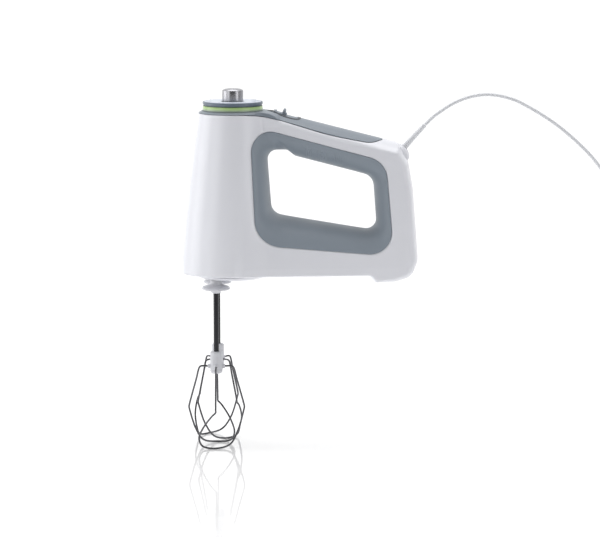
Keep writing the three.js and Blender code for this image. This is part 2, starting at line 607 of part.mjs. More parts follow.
function whiskPieces(name, side, turn) {
  const [x, y] = [SPINDLE_X, side * SPINDLE_Y];
  add(`whisk_shaft_${name}`, disc(SHAFT_R, -205, -99, x, y, 16), CHROME);
  const bore = SHAFT_R + CLEARANCE;
  add(`whisk_collar_${name}`, turned([
    [bore, -120.4], [5.4, -120.4], [5.6, -128.8], [12.4, -130], [COLLAR_R, -131.3],
    [13, -132.3], [4.6, -133.9], [4.3, -136], [bore, -136],
  ], 20, x, y), WHITE);
  const bosses = Array.from({ length: 4 }, (_, i) => solidOf(new THREE.CylinderGeometry(2.1, 2.1, 8, 8)
    .rotateZ(Math.PI / 2).translate(4, 0, 0).rotateZ(turn + i * Math.PI / 2).translate(x, y, BOSS_Z)));
  const hub = turned([
    [0, HUB_Z[0]], [4.6, HUB_Z[0]], [5.85, HUB_Z[0] + 1.6], [5.85, HUB_Z[1] - 1], [4.9, HUB_Z[1]], [0, HUB_Z[1]],
  ], 16, x, y);
  add(`whisk_hub_${name}`, cut(joined(hub, ...bosses), disc(bore, -205.4, -190, x, y, 16)), WHITE);
  for (const [label, start] of [['a', -Math.PI / 2], ['b', Math.PI / 2]]) {
    add(`whisk_wire_${name}_${label}`,
      tube(wirePath(x, y, start + turn, -side), polygon(WIRE_R, WIRE_R, 5), 38), CHROME);
  }
}

// ---- Cord, coil and plug ----
const CORD_LOW_Z = FLOOR_Z + CORD_WIDTH / 2 + 0.2; // the cord lies on its edge
const COIL_AT = [325.5, 52];
const COIL_R = [23.2, 33.8];
const COIL_TOP_Z = FLOOR_Z + 2 * CORD_WIDTH + 0.6;
const PLUG_AT = [304.5, 48]; // where the cord enters the plug, which lies on the coil
const PLUG_THICK = 13.6;

// Chosen by hand: up out of the strain relief, over in one arch, down to the floor and along it.
const CORD_ROUTE = [
  [94, 0, 21.2], [102.5, 0, 29.3], [111, 0, 35.4], [120, 0, 41], [130, 0, 45.4], [141, 0, 48.4],
  [153, 0, 49.4], [166.2, 0, 47.7], [178.7, 0, 43.9], [189.4, 0, 38.6], [202, 0, 31.4],
  [220, 0, 19.2], [238, 0, 4], [254, 0, -12.4], [268, 0, -33], [279, 0, -60], [285.5, 0.4, -92],
  [288.5, 1, -130], [289.8, 1.6, -168], [290.4, 2, -206], [290.8, 2.6, -236], [291, 4.5, -258],
  [291.2, 10.5, -272.5], [291.5, 21, -279.4], [291.8, 31, CORD_LOW_Z], [292, 37.4, CORD_LOW_Z],
];

function cordPieces() {
  add('cord_cap', cut(capBody(CAP_R, 0), reliefBody(GAP)), WHITE);
  add('strain_relief', reliefBody(0), CORD_GREY);
  add('cord_clamp', box(52, 64, -8, 8, -17, -11), DARK_PLASTIC);
  add('mains_cord', tube(CORD_ROUTE, polygon(CORD_WIDTH / 2, CORD_WIDTH / 2, 8), 44), CORD_GREY);
  add('cord_coil', turned([
    [COIL_R[0], FLOOR_Z], [COIL_R[1], FLOOR_Z], [COIL_R[1], COIL_TOP_Z], [COIL_R[0], COIL_TOP_Z],
  ], 28, ...COIL_AT), CORD_GREY);
  add('plug_body', plug(), CORD_GREY);
}

// A flat two-pin plug on a tapered neck, pointing along +Y.
function plug() {
  const [x, y] = PLUG_AT;
  const low = COIL_TOP_Z + GAP;
  const neck = 12;
  const face = y + neck + 34;
  const side = [[4, -2], [6, neck], [12, neck + 9], [17.6, neck + 18], [17.6, face - y]];
  const across = [...side].reverse().map(([dx, dy]) => [-dx, dy]);
  const shape = new THREE.Shape([...side, ...across].map(([dx, dy]) => new THREE.Vector2(x + dx, y + dy)));
  const pins = [-9.5, 9.5].map((dx) => solidOf(new THREE.CylinderGeometry(2, 2, 20, 12)
    .translate(x + dx, face + 9, low + PLUG_THICK / 2)));
  return joined(plate(shape, low, low + PLUG_THICK), ...pins);
}

// ---- Assembly ----
for (const [name, side] of [['left', -1], ['right', 1]]) {
  add(`housing_${name}`, housingHalf(side), WHITE);
  add(`grip_${name}`, shell(gripSlices(), side), SOFT_GREY);
}
add('bottom_cover', bottomCover(), WHITE);
add('top_cover', topCover(), SOFT_GREY);
dialPieces();
ejectorPieces();
switchPieces();
add('suppression_capacitor', solidOf(new THREE.CylinderGeometry(6.5, 6.5, 20, 16)
  .rotateZ(Math.PI / 2).translate(2, 0, -106)), PALE_GREY);
motorPieces();
gearPieces();
whiskPieces('left', -1, 0);
whiskPieces('right', 1, Math.PI / 4);
cordPieces();

export default mixer;
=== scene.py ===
"""Hand mixer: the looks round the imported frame. Lengths are in millimetres here and become metres
when a mesh is made. +Z is up, the whisks are towards -X, the cord towards +X, the left side is -Y."""

import json
import math

import bmesh
import bpy
import numpy as np
from mathutils import Matrix, Vector


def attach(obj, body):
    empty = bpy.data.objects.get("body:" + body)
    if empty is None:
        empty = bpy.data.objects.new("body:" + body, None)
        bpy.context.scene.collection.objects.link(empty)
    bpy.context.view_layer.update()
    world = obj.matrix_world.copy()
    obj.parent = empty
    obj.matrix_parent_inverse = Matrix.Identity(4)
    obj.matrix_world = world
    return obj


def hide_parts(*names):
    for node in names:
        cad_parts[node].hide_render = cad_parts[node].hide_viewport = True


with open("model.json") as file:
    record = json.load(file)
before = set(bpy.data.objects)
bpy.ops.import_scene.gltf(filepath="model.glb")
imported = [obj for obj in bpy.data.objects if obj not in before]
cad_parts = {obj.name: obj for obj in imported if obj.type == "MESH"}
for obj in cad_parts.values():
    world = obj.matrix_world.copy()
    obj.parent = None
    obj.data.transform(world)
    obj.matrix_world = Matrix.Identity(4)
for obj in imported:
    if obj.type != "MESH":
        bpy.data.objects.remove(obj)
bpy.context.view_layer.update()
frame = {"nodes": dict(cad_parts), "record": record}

MM = 0.001

# ---- Driving dimensions, as in the frame ----
SPLIT = 0.12  # half the parting line between the left and right shells
SEAM_GAP = 0.55  # shadow line under the top cover
SLOPE = 0.2523  # fall of the handle towards the rear
TOP_Z = 34.7
SLOPE_START_X = -51.1
COVER_Z = 32.3  # lower edge of the top cover round the barrel
BASE_Z = -119.4  # flat underside below the handle's loop
HEEL_Z = -126.0  # flat underside of the heel at the rear
COVER_DISC_X = -88.0  # middle of the lens-shaped cover under the whisk end
COVER_DISC_R = 36.2
COVER_HOLE_R = 33.5  # hole of the housing that the cover closes
SPINDLE_HOLE_R = 8.3  # holes of the cover round the spindles
MOTOR_X = -86.6
SPINDLE_X = -102.7
SPINDLE_Y = 19.0
GRIP_CENTRE = (-3.0, -38.0)
DIAL_R = 28.2
CONE_R = 28.9  # upper edge of the conical collar under the dial
BUTTON_R = 9.9
SHAFT_R = 2.5
COLLAR_R = 13.5
KNEE_R = 26.3
WHISK_BOTTOM_Z = -283.0
WIRE_R = 0.9
CORD_WIDE = 5.2
CORD_THICK = 3.2
FLOOR_Z = WHISK_BOTTOM_Z - WIRE_R
SEAM_END = (55.5, 7.8)  # pointed rear end of the top cover


# ---- Small mathematics ----
def smoothstep(low, high, value):
    t = np.clip((value - low) / (high - low), 0.0, 1.0)
    return t * t * (3 - 2 * t)


def smooth_max(a, b, reach):
    return np.maximum(a, b) + np.maximum(0.0, reach - np.abs(a - b)) ** 2 / (4 * reach)


def smooth_min(a, b, reach):
    return -smooth_max(-a, -b, reach)


def round_off(depth, size, power):
    """0 at an edge, rising to 1 at the given depth, as the quarter of a superellipse."""
    t = np.clip(1 - depth / size, 0.0, 1.0)
    return (1 - t**power) ** (1 / power)


def rounded(corners, steps=8):
    """A closed outline of straight sides; its corners are given as x, z and radius of an arc."""
    points = []
    count = len(corners)
    for i, (x, z, radius) in enumerate(corners):
        corner = np.array([x, z], float)
        before = np.array(corners[i - 1][:2], float) - corner
        after = np.array(corners[(i + 1) % count][:2], float) - corner
        long_before, long_after = np.linalg.norm(before), np.linalg.norm(after)
        before, after = before / long_before, after / long_after
        half = math.acos(float(np.clip(before @ after, -1, 1))) / 2
        if radius <= 0 or half > math.radians(89.5):
            points.append(corner)
            continue
        trim = min(radius / math.tan(half), long_before / 2, long_after / 2)
        arc = trim * math.tan(half)
        middle = before + after
        centre = corner + middle / np.linalg.norm(middle) * arc / math.sin(half)
        start, end = corner + before * trim - centre, corner + after * trim - centre
        a0, a1 = math.atan2(start[1], start[0]), math.atan2(end[1], end[0])
        turn = (a1 - a0 + math.pi) % (2 * math.pi) - math.pi
        for k in range(steps + 1):
            a = a0 + turn * k / steps
            points.append(centre + arc * np.array([math.cos(a), math.sin(a)]))
    return np.array(points)


def spline(points, spacing):
    """Points at even spacing along a centripetal Catmull-Rom curve."""
    p = np.array(points, float)
    p = np.vstack([2 * p[0] - p[1], p, 2 * p[-1] - p[-2]])
    dense = []
    for i in range(1, len(p) - 2):
        a, b, c, d = p[i - 1 : i + 3]
        t0 = 0.0
        t1 = t0 + np.linalg.norm(b - a) ** 0.5
        t2 = t1 + np.linalg.norm(c - b) ** 0.5
        t3 = t2 + np.linalg.norm(d - c) ** 0.5
        t = np.linspace(t1, t2, 24, endpoint=False)[:, None]
        ab = (t1 - t) / (t1 - t0) * a + (t - t0) / (t1 - t0) * b
        bc = (t2 - t) / (t2 - t1) * b + (t - t1) / (t2 - t1) * c
        cd = (t3 - t) / (t3 - t2) * c + (t - t2) / (t3 - t2) * d
        abc = (t2 - t) / (t2 - t0) * ab + (t - t0) / (t2 - t0) * bc
        bcd = (t3 - t) / (t3 - t1) * bc + (t - t1) / (t3 - t1) * cd
        dense.append((t2 - t) / (t2 - t1) * abc + (t - t1) / (t2 - t1) * bcd)
    dense = np.vstack([*dense, p[-2:-1]])
    run = np.concatenate([[0], np.cumsum(np.linalg.norm(np.diff(dense, axis=0), axis=1))])
    count = max(2, int(round(run[-1] / spacing)) + 1)
    at = np.linspace(0, run[-1], count)
    return np.stack([np.interp(at, run, dense[:, k]) for k in range(3)], axis=1)


# ---- Meshes ----
def placed(name, data):
    """An object of its own in the scene."""
    holder = bpy.data.objects.new(name, data)
    bpy.context.scene.collection.objects.link(holder)
    return holder


def piece_from(name, shape):
    """A mesh object from a shape under construction, which is used up."""
    mesh = bpy.data.meshes.new(name)
    shape.to_mesh(mesh)
    shape.free()
    return placed(name, mesh)


def make(name, verts, faces):
    """A mesh object from points in millimetres, with doubled points joined and faces turned out."""
    mesh = bpy.data.meshes.new(name)
    mesh.from_pydata((np.asarray(verts, float) * MM).tolist(), [], faces)
    shape = bmesh.new()
    shape.from_mesh(mesh)
    bmesh.ops.remove_doubles(shape, verts=shape.verts, dist=1e-6)
    bmesh.ops.dissolve_degenerate(shape, edges=shape.edges, dist=1e-7)
    bmesh.ops.recalc_face_normals(shape, faces=shape.faces)
    shape.to_mesh(mesh)
    shape.free()
    return placed(name, mesh)


def grid_faces(rows, columns, close_rows=False, close_columns=False):
    faces = []
    for i in range(rows if close_rows else rows - 1):
        for j in range(columns if close_columns else columns - 1):
            k, m = (i + 1) % rows, (j + 1) % columns
            faces.append((i * columns + j, k * columns + j, k * columns + m, i * columns + m))
    return faces


def loft(name, rings, closed=False):
    """A body through closed rings of points, capped at its ends unless the rings close up."""
    rings = np.asarray(rings, float)
    count, size = rings.shape[:2]
    faces = grid_faces(count, size, closed, True)
    if not closed:
        faces += [tuple(range(size)), tuple((count - 1) * size + j for j in reversed(range(size)))]
    return make(name, rings.reshape(-1, 3), faces)


def lathe(name, profile, x=0.0, y=0.0, segments=96):
    """A solid of revolution about the vertical axis through (x, y), from r, z and corner radius."""
    outline = rounded(profile, 5)
    turns = np.arange(segments) / segments * 2 * math.pi
    rings = np.array([
        [(x + r * math.cos(a), y + r * math.sin(a), z) for r, z in outline] for a in turns
    ])
    return loft(name, rings, closed=True)


def bore_tool(r, low, high, x, y, segments=96):
    """A plain round solid to cut a bore with."""
    return lathe("bore", [(0, low, 0), (r, low, 0), (r, high, 0), (0, high, 0)], x, y, segments)


def combine(piece, tool, operation="DIFFERENCE"):
    """Cuts, joins or intersects piece with tool, and removes the tool."""
    modifier = piece.modifiers.new("combine", "BOOLEAN")
    modifier.operation = operation
    modifier.object = tool
    modifier.solver = "MANIFOLD"
    graph = bpy.context.evaluated_depsgraph_get()
    mesh = bpy.data.meshes.new_from_object(piece.evaluated_get(graph))
    piece.modifiers.clear()
    piece.data = mesh
    bpy.data.objects.remove(tool)
    return piece


def moved(piece, matrix):
    """Moves the points of a mesh and leaves its object where it is."""
    piece.data.transform(matrix)
    return piece


def joined(name, *parts):
    """Separate solids as one piece."""
    shape = bmesh.new()
    for part in parts:
        shape.from_mesh(part.data)
        bpy.data.objects.remove(part)
    return piece_from(name, shape)


def tube(name, path, section, first_side):
    """A tube along a path; section holds points across and along the carried side direction."""
    path = np.asarray(path, float)
    tangents = np.gradient(path, axis=0)
    tangents /= np.linalg.norm(tangents, axis=1)[:, None]
    side = np.array(first_side, float)
    rings = []
    for point, tangent in zip(path, tangents):
        side = side - (side @ tangent) * tangent
        side /= np.linalg.norm(side)
        across = np.cross(tangent, side)
        rings.append([point + u * across + v * side for u, v in section])
    return loft(name, rings)


def oval(half_across, half_along, sides, power=2.0):
    angles = (np.arange(sides) + 0.5) / sides * 2 * math.pi
    c, s = np.cos(angles), np.sin(angles)
    return np.stack([
        half_across * np.sign(c) * np.abs(c) ** (2 / power),
        half_along * np.sign(s) * np.abs(s) ** (2 / power),
    ], axis=1)


def soft_box(name, size, centre, bevel, segments=3):
    """A box with rounded edges."""
    shape = bmesh.new()
    bmesh.ops.create_cube(shape, size=1.0)
    bmesh.ops.scale(shape, vec=Vector(size) * MM, verts=shape.verts)
    bmesh.ops.bevel(shape, geom=shape.edges, offset=bevel * MM, segments=segments,
                    profile=0.5, affect="EDGES")
    bmesh.ops.translate(shape, vec=Vector(centre) * MM, verts=shape.verts)
    return piece_from(name, shape)


def finish(piece, material, body, replaces=(), sharp=38):
    """Shading, material and place of a finished piece."""
    piece.data.materials.clear()
    piece.data.materials.append(MATERIALS[material])
    for polygon in piece.data.polygons:
        polygon.use_smooth = True
    piece.data.set_sharp_from_angle(angle=math.radians(sharp))
    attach(piece, body)
    if replaces:
        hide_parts(*replaces)
    return piece


# ---- Camera ----
LENS = 124.8
CAMERA_ELEVATION = 9.2
CAMERA_DISTANCE = 1976.0
CAMERA_TARGET = Vector((-23.5, 0.0, -115.8))


def camera():
    """A long lens from the left side, a little above."""
    data = bpy.data.cameras.new("camera")
    data.lens = LENS
    data.clip_end = 50
    holder = placed("camera", data)
    e = math.radians(CAMERA_ELEVATION)
    back = Vector((0, -math.cos(e), math.sin(e)))
    holder.location = (CAMERA_TARGET + back * CAMERA_DISTANCE) * MM
    holder.rotation_euler = (math.pi / 2 - e, 0, 0)
    bpy.context.scene.camera = holder


# ---- Materials ----
MATERIALS = {}


class Nodes:
    """Builds one procedural material, node by node."""

    def __init__(self, name):
        self.material = bpy.data.materials.new(name)
        self.material.use_nodes = True
        self.tree = self.material.node_tree
        self.shader = self.tree.nodes["Principled BSDF"]
        self.place = self.tree.nodes.new("ShaderNodeTexCoord").outputs["Object"]
        MATERIALS[name] = self.material

    def set(self, **values):
        for key, value in values.items():
            self.shader.inputs[key.replace("_", " ")].default_value = value
        return self

    def link(self, a, b):
        self.tree.links.new(a, b)

    def noise(self, scale, detail=3.0, stretch=(1, 1, 1)):
        mapping = self.tree.nodes.new("ShaderNodeMapping")
        mapping.inputs["Scale"].default_value = stretch
        self.link(self.place, mapping.inputs["Vector"])
        node = self.tree.nodes.new("ShaderNodeTexNoise")
        node.inputs["Scale"].default_value = scale
        node.inputs["Detail"].default_value = detail
        self.link(mapping.outputs["Vector"], node.inputs["Vector"])
        return node.outputs["Fac"]

    def ramp(self, factor, stops):
        """A colour read off stops, each a position and a colour."""
        node = self.tree.nodes.new("ShaderNodeValToRGB")
        elements = node.color_ramp.elements
        while len(elements) < len(stops):
            elements.new(0.5)
        for element, (position, colour) in zip(elements, stops):
            element.position = position
            element.color = (*colour, 1)
        self.link(factor, node.inputs["Fac"])
        return node.outputs["Color"]

    def spread(self, factor, low, high):
        node = self.tree.nodes.new("ShaderNodeMapRange")
        node.inputs["From Min"].default_value = 0.3
        node.inputs["From Max"].default_value = 0.7
        node.inputs["To Min"].default_value = low
        node.inputs["To Max"].default_value = high
        self.link(factor, node.inputs["Value"])
        return node.outputs["Result"]

    def bump(self, *layers):
        """Layers of height, finest last: the height, its strength and its depth in metres."""
        normal = None
        for height, strength, distance in layers:
            node = self.tree.nodes.new("ShaderNodeBump")
            node.inputs["Strength"].default_value = strength
            node.inputs["Distance"].default_value = distance
            self.link(height, node.inputs["Height"])
            if normal is not None:
                self.link(normal, node.inputs["Normal"])
            normal = node.outputs["Normal"]
        self.link(normal, self.shader.inputs["Normal"])
        return self


def tinted(colour, share):
    return tuple(min(1.0, c * share) for c in colour)


def moulded(name, colour, roughness, texture=0.06, grain=2500, coat=0.0, drift=0.03):
    """Moulded plastic or rubber: faint flow marks in colour and gloss, and a fine surface texture."""
    n = Nodes(name)
    flow = n.noise(22, 4)
    n.link(n.ramp(flow, [(0.3, tinted(colour, 1 - drift)), (0.7, tinted(colour, 1 + drift))]),
           n.shader.inputs["Base Color"])
    n.link(n.spread(n.noise(55, 5), roughness * 0.9, roughness * 1.12), n.shader.inputs["Roughness"])
    n.set(Coat_Weight=coat, Coat_Roughness=0.12)
    n.bump((n.noise(160, 2), 0.04, 0.0002), (n.noise(grain, 2), texture, 0.00004))
    return n


def metal(name, colour, roughness, brushed=(1, 1, 1), marks=0.1):
    """Plated or machined metal: faint scratches and stains in the gloss."""
    n = Nodes(name)
    n.set(Metallic=1.0)
    n.link(n.ramp(n.noise(30, 4), [(0.3, tinted(colour, 0.95)), (0.7, tinted(colour, 1.03))]),
           n.shader.inputs["Base Color"])
    n.link(n.spread(n.noise(140, 6, brushed), roughness * 0.7, roughness * 1.5 + 0.02),
           n.shader.inputs["Roughness"])
    n.bump((n.noise(900, 3, brushed), marks, 0.00003))
    return n


def materials():
    """A material for each of the record's slots, and a few darker kinds for visible trim; the darkened
    chromes of the wires and shafts are painted dark reflection.
    """
    moulded("white_shell", (0.705, 0.712, 0.757), 0.34, coat=0.1, drift=0.006)
    moulded("white_trim", (0.60, 0.605, 0.64), 0.34, drift=0.01)
    soft = moulded("soft_grip", (0.222, 0.258, 0.300), 0.5, texture=0.31, grain=4200)
    soft.set(Sheen_Weight=0.12, Sheen_Roughness=0.4)
    cover = moulded("top_cover_grey", (0.200, 0.230, 0.268), 0.46, texture=0.26, grain=4200)
    cover.set(Sheen_Weight=0.1, Sheen_Roughness=0.4)
    moulded("pale_grey", (0.52, 0.56, 0.64), 0.34)
    moulded("rim_grey", (0.115, 0.145, 0.19), 0.34)
    moulded("dark_plastic", (0.045, 0.05, 0.058), 0.45, texture=0.21)
    moulded("gear_nylon", (0.74, 0.70, 0.56), 0.45)
    moulded("carbon", (0.022, 0.022, 0.024), 0.6, texture=0.36)
    moulded("circuit_board", (0.035, 0.16, 0.07), 0.4)
    moulded("cord_grey", (0.66, 0.67, 0.70), 0.5, texture=0.01, grain=600)
    metal("chrome", (0.36, 0.36, 0.38), 0.27, marks=0.03)
    # Painted reflection: the wires' chrome is darkened so they look black, as chrome does when it
    # reflects a dark surround.
    metal("wire_chrome", (0.11, 0.11, 0.118), 0.12, marks=0.03)
    # Painted reflection: the shafts' chrome is darkened almost to black, standing in for the dark
    # surround it reflects.
    metal("shaft_chrome", (0.035, 0.035, 0.038), 0.1, marks=0.03)
    metal("steel", (0.52, 0.53, 0.55), 0.28, brushed=(1, 1, 9))
    metal("lamination", (0.16, 0.165, 0.18), 0.45, brushed=(1, 1, 60), marks=0.35)
    metal("copper_winding", (0.60, 0.26, 0.10), 0.3, brushed=(1, 1, 40), marks=0.4)
    metal("bronze", (0.46, 0.31, 0.13), 0.4)
    green_band()


def green_band():
    """Lime band of the dial, with painted shade darkening it towards its upper edge under the rim, and
    paler towards the collar.
    """
    n = Nodes("lime_green")
    split = n.tree.nodes.new("ShaderNodeSeparateXYZ")
    n.link(n.place, split.inputs["Vector"])
    height = n.tree.nodes.new("ShaderNodeMapRange")
    height.inputs["From Min"].default_value = 35.0 * MM
    height.inputs["From Max"].default_value = 39.4 * MM
    n.link(split.outputs["Z"], height.inputs["Value"])
    # Painted shade: the last stops darken the band towards its top, where the dial rim overhangs it.
    n.link(n.ramp(height.outputs["Result"], [
        (0.0, (0.30, 0.36, 0.31)), (0.2, (0.29, 0.37, 0.27)), (0.48, (0.40, 0.56, 0.26)),
        (0.82, (0.36, 0.53, 0.21)), (0.94, (0.20, 0.31, 0.11)), (1.0, (0.10, 0.16, 0.08)),
    ]), n.shader.inputs["Base Color"])
    n.link(n.spread(n.noise(70, 4), 0.24, 0.34), n.shader.inputs["Roughness"])
    n.bump((n.noise(2600, 2), 0.08, 0.00003))


# ---- The cord, its coil, the plug and the strain relief ----
CORD_LOW_Z = FLOOR_Z + CORD_WIDE / 2 + 0.2
CORD_LAYER = CORD_WIDE + 0.1  # rise from the lower to the upper layer of turns
CORD_ROUTE = [
    (94, 0, 21.2), (102.5, 0, 29.3), (111, 0, 35.4), (120, 0, 41), (130, 0, 45.4), (141, 0, 48.4),
    (153, 0, 49.4), (166.2, 0, 47.7), (178.7, 0, 43.9), (189.4, 0, 38.6), (202, 0, 31.4),
    (220, 0, 19.2), (238, 0, 4), (254, 0, -12.4), (268, 0, -33), (279, 0, -60), (285.5, 0.4, -92),
    (288.5, 1, -130), (289.8, 1.6, -168), (290.4, 2, -206), (290.8, 2.6, -236), (291, 4.5, -258),
    (291.2, 10.5, -272.5), (291.5, 21, -279.4), (291.8, 31, CORD_LOW_Z), (292, 37.4, CORD_LOW_Z),
]
COIL_AT = (325.5, 52.0)
COIL_OUTER = 32.1  # radius of the outermost turn's middle
PLUG_AT = (304.5, 48.0)
PLUG_LOW_Z = FLOOR_Z + 2 * CORD_WIDE + 0.9
PLUG_THICK = 13.6
RELIEF_START = (70.8, -4.2)
RELIEF_ANGLE = 47.6
COIL_CLIMB = (2.15, 2.7)  # the turns between which the cord climbs to the upper layer
COIL_TURNS = 4.75
COIL_PITCH_IN = 3.35
COIL_PITCH_OUT = 3.12
COIL_CLIMB_OUT = 1.2  # how far the turns widen while they climb


def coil_points():
    """Turns on edge: a lower layer winds in, climbs at the inside, and an upper one winds out."""
    per_turn = 16
    first, last = COIL_CLIMB
    inner = COIL_OUTER - COIL_PITCH_IN * first
    points = []
    for i in range(int(per_turn * COIL_TURNS) + 1):
        t = i / per_turn
        rise = float(smoothstep(first, last, t))
        if t <= first:
            radius = COIL_OUTER - COIL_PITCH_IN * t
        elif t <= last:
            radius = inner + COIL_CLIMB_OUT * (t - first) / (last - first)
        else:
            radius = inner + COIL_CLIMB_OUT + COIL_PITCH_OUT * (t - last)
        lift = 3.0 * float(smoothstep(COIL_TURNS - 0.25, COIL_TURNS, t))
        a = math.pi - 2 * math.pi * t
        points.append((COIL_AT[0] + radius * math.cos(a), COIL_AT[1] + radius * math.sin(a),
                       CORD_LOW_Z + CORD_LAYER * rise + lift))
    return points


def cord_path():
    """From the outlet over the floor into the coil, and up from its last turn into the plug's neck."""
    coil = coil_points()
    sx, sy, sz = coil[-1]
    radius = sx - PLUG_AT[0]
    end_z = PLUG_LOW_Z + PLUG_THICK / 2
    lead = []
    for k in range(1, 5):
        a = math.radians(90 * k / 4)
        z = sz + (end_z - sz) * float(smoothstep(0, 1, k / 4))
        lead.append((sx - radius * math.sin(a), sy + radius * (1 - math.cos(a)), z))
    lead.append((PLUG_AT[0], PLUG_AT[1] - 2.3, end_z))
    return spline([*CORD_ROUTE, *coil[1:], *lead], 1.1)


def cords():
    """The mains cord from its outlet to the plug, as one flat tube."""
    path = cord_path()
    flat = tube("mains_flex", path, oval(CORD_THICK / 2, CORD_WIDE / 2, 20, 2.7), (0, 1, 0))
    finish(flat, "cord_grey", "housing", ["mains_cord", "cord_coil"])
    plug = plug_shell()
    pins = plug_pins()
    strain_relief()


def relief_loft(name, stations):
    """A flat-sided sleeve along the cord's way out, from distance, half-thickness and half-width."""
    a = math.radians(RELIEF_ANGLE)
    along = np.array([math.cos(a), 0, math.sin(a)])
    across = np.array([-math.sin(a), 0, math.cos(a)])
    start = np.array([RELIEF_START[0], 0, RELIEF_START[1]])
    return loft(name, [
        [start + along * s + across * u + np.array([0, v, 0]) for u, v in oval(thick, wide, 40, 2.2)]
        for s, thick, wide in stations
    ])


def strain_relief():
    """A smooth sleeve that tapers towards the cord, with a lip at its open end."""
    sleeve = relief_loft("relief_sleeve", [
        (0, 4.3, 4.8), (3, 4.3, 4.8), (3.4, 3.1, 3.7), (5, 2.95, 3.55), (9, 2.8, 3.4), (14, 2.62, 3.3),
        (20, 2.42, 3.15), (26, 2.26, 3.02), (31.2, 2.16, 2.95), (31.6, 1.98, 2.8), (32.2, 1.98, 2.8),
        (32.5, 2.2, 3.0), (33.4, 2.2, 3.0), (34, 1.95, 2.8),
    ])
    finish(sleeve, "cord_grey", "housing", ["strain_relief"], sharp=50)


def plug_shell():
    """Flat two-pin plug: a tapered neck that swells into the grip, with finger ribs."""
    x, y = PLUG_AT
    middle = PLUG_LOW_Z + PLUG_THICK / 2
    stations = [
        (-2, 2.6, 3.6), (-1.6, 3.3, 4.3), (0, 3.6, 4.7), (4, 3.9, 5.2), (8, 4.3, 5.8), (12, 4.8, 6.9),
        (16, 5.6, 9.0), (20, 6.4, 11.6), (24, 6.75, 14.2), (28, 6.8, 16.2), (31, 6.8, 17.2),
        (34, 6.8, 17.5), (37, 6.8, 17.5), (44, 6.8, 17.5), (45.3, 6.5, 17.2), (46, 5.7, 16.4),
    ]
    rings = []
    for s, thick, wide in stations:
        rings.append([(x + v, y + s, middle + u) for u, v in oval(thick, wide, 56, 3.4)])
    body = loft("plug_shell", rings)
    for k in range(5):
        for side in (-1, 1):
            at = (x + side * (16.9 - 0.02 * k), y + 29.5 + 2.4 * k, middle)
            combine(body, soft_box("groove", (4, 0.9, 9), at, 0.3))
    return finish(body, "cord_grey", "housing", ["plug_body"], sharp=45)


def plug_pins():
    """Two round pins side by side."""
    x, y = PLUG_AT
    middle = PLUG_LOW_Z + PLUG_THICK / 2
    pins = []
    for side in (-1, 1):
        profile = [(0, -1, 0), (2.0, -1, 0), (2.0, 18, 1.4), (0, 18, 0)]
        pin = lathe("pin", profile, segments=32)
        moved(pin, Matrix.Translation(Vector((x + side * 9.5, y + 46, middle)) * MM)
              @ Matrix.Rotation(-math.pi / 2, 4, "X"))
        pins.append(pin)
    return finish(joined("plug_pins", *pins), "steel", "housing")


# ---- Outlines of the body in side view ----
def falling_top(x):
    return TOP_Z - SLOPE * smooth_max(0.0, x - SLOPE_START_X, 7.0)


def down(z):
    """How far down the barrel a height lies: 0 at the top cover, 1 near the foot."""
    return (COVER_Z - z) / (COVER_Z + 110)


def barrel_r(z):
    return 32.3 + 14.1 * down(z) + 6 * down(z) * (1 - down(z))


def barrel_x(z):
    return MOTOR_X - 3.4 * down(z)


def front_x(z):
    return barrel_x(z) - barrel_r(z)


def seam_z(x):
    """Height of the seam between the top cover and the white housing."""
    low_x, low_z = 44, 5.6  # where the seam turns up to its pointed end
    level = np.full_like(np.asarray(x, float), COVER_Z)
    slope = low_z - 0.2472 * (x - low_x)
    rise = low_z + 0.1913 * (x - low_x)
    sag = 2.5 * np.exp(-(((x - 4) / 36) ** 2))
    return smooth_max(smooth_min(level, slope - sag, 5.0), rise, 2.0)


REAR = [
    (68.5, 4.5, 6), (78.5, -13.5, 13), (82.9, -38, 60), (88.3, -106, 15), (82.5, -121.8, 14),
    (66, HEEL_Z - 0.7, 16), (47.4, HEEL_Z - 0.6, 2), (41.6, BASE_Z - 0.6, 3),
]
SEAT = [(-70.0, 22.0, 18), (56.7, -11.5, 22), (64.4, -99.6, 20), (-64.6, -88.0, 26)]
OPENING = [
    (-54.6, -2.2, 14), (-35, -2.4, 6), (-27.8, -8.2, 4.5), (45.3, -27, 12.5), (49.3, -79.3, 9.5),
    (-50.0, -63.0, 12),
]


def housing_outline():
    """Side view of the white housing: seam, rear, underside and the front of the barrel."""
    top = [(x, float(seam_z(x)), 0) for x in np.linspace(front_x(COVER_Z), SEAM_END[0], 160)]
    front = [(float(front_x(z)), z, 0) for z in np.linspace(-108, COVER_Z, 70)[:-1]]
    corner = [(float(front_x(BASE_Z + 0.8)), BASE_Z - 0.6, 7)]
    return rounded([*top, *REAR, *corner, *front], 10)


def reach(line, angles):
    """Distance from the grip centre to an outline in each direction."""
    p = line - np.array(GRIP_CENTRE)
    q = np.roll(p, -1, axis=0)
    e = q - p
    ux, uz = np.cos(angles)[:, None], np.sin(angles)[:, None]
    det = ux * e[None, :, 1] - uz * e[None, :, 0]
    safe = np.where(np.abs(det) < 1e-9, 1.0, det)
    r = (p[None, :, 0] * e[None, :, 1] - p[None, :, 1] * e[None, :, 0]) / safe
    t = (p[None, :, 0] * uz - p[None, :, 1] * ux) / safe
    good = (np.abs(det) > 1e-9) & (r > 0) & (t >= -1e-9) & (t <= 1 + 1e-9)
    r = np.where(good, r, 0)
    return r.max(axis=1)


def inset(line, kept, x, z):
    """How far points inside an outline are from those of its sides whose two ends are kept."""
    e = np.roll(line, -1, axis=0) - line
    size = np.maximum((e**2).sum(axis=1), 1e-12)
    sides = kept & np.roll(kept, -1)
    least = np.full(x.shape, 1e9)
    for (px, pz), (ex, ez), s in zip(line[sides], e[sides], size[sides]):
        t = np.clip(((x - px) * ex + (z - pz) * ez) / s, 0, 1)
        least = np.minimum(least, (x - px - t * ex) ** 2 + (z - pz - t * ez) ** 2)
    return np.sqrt(least)


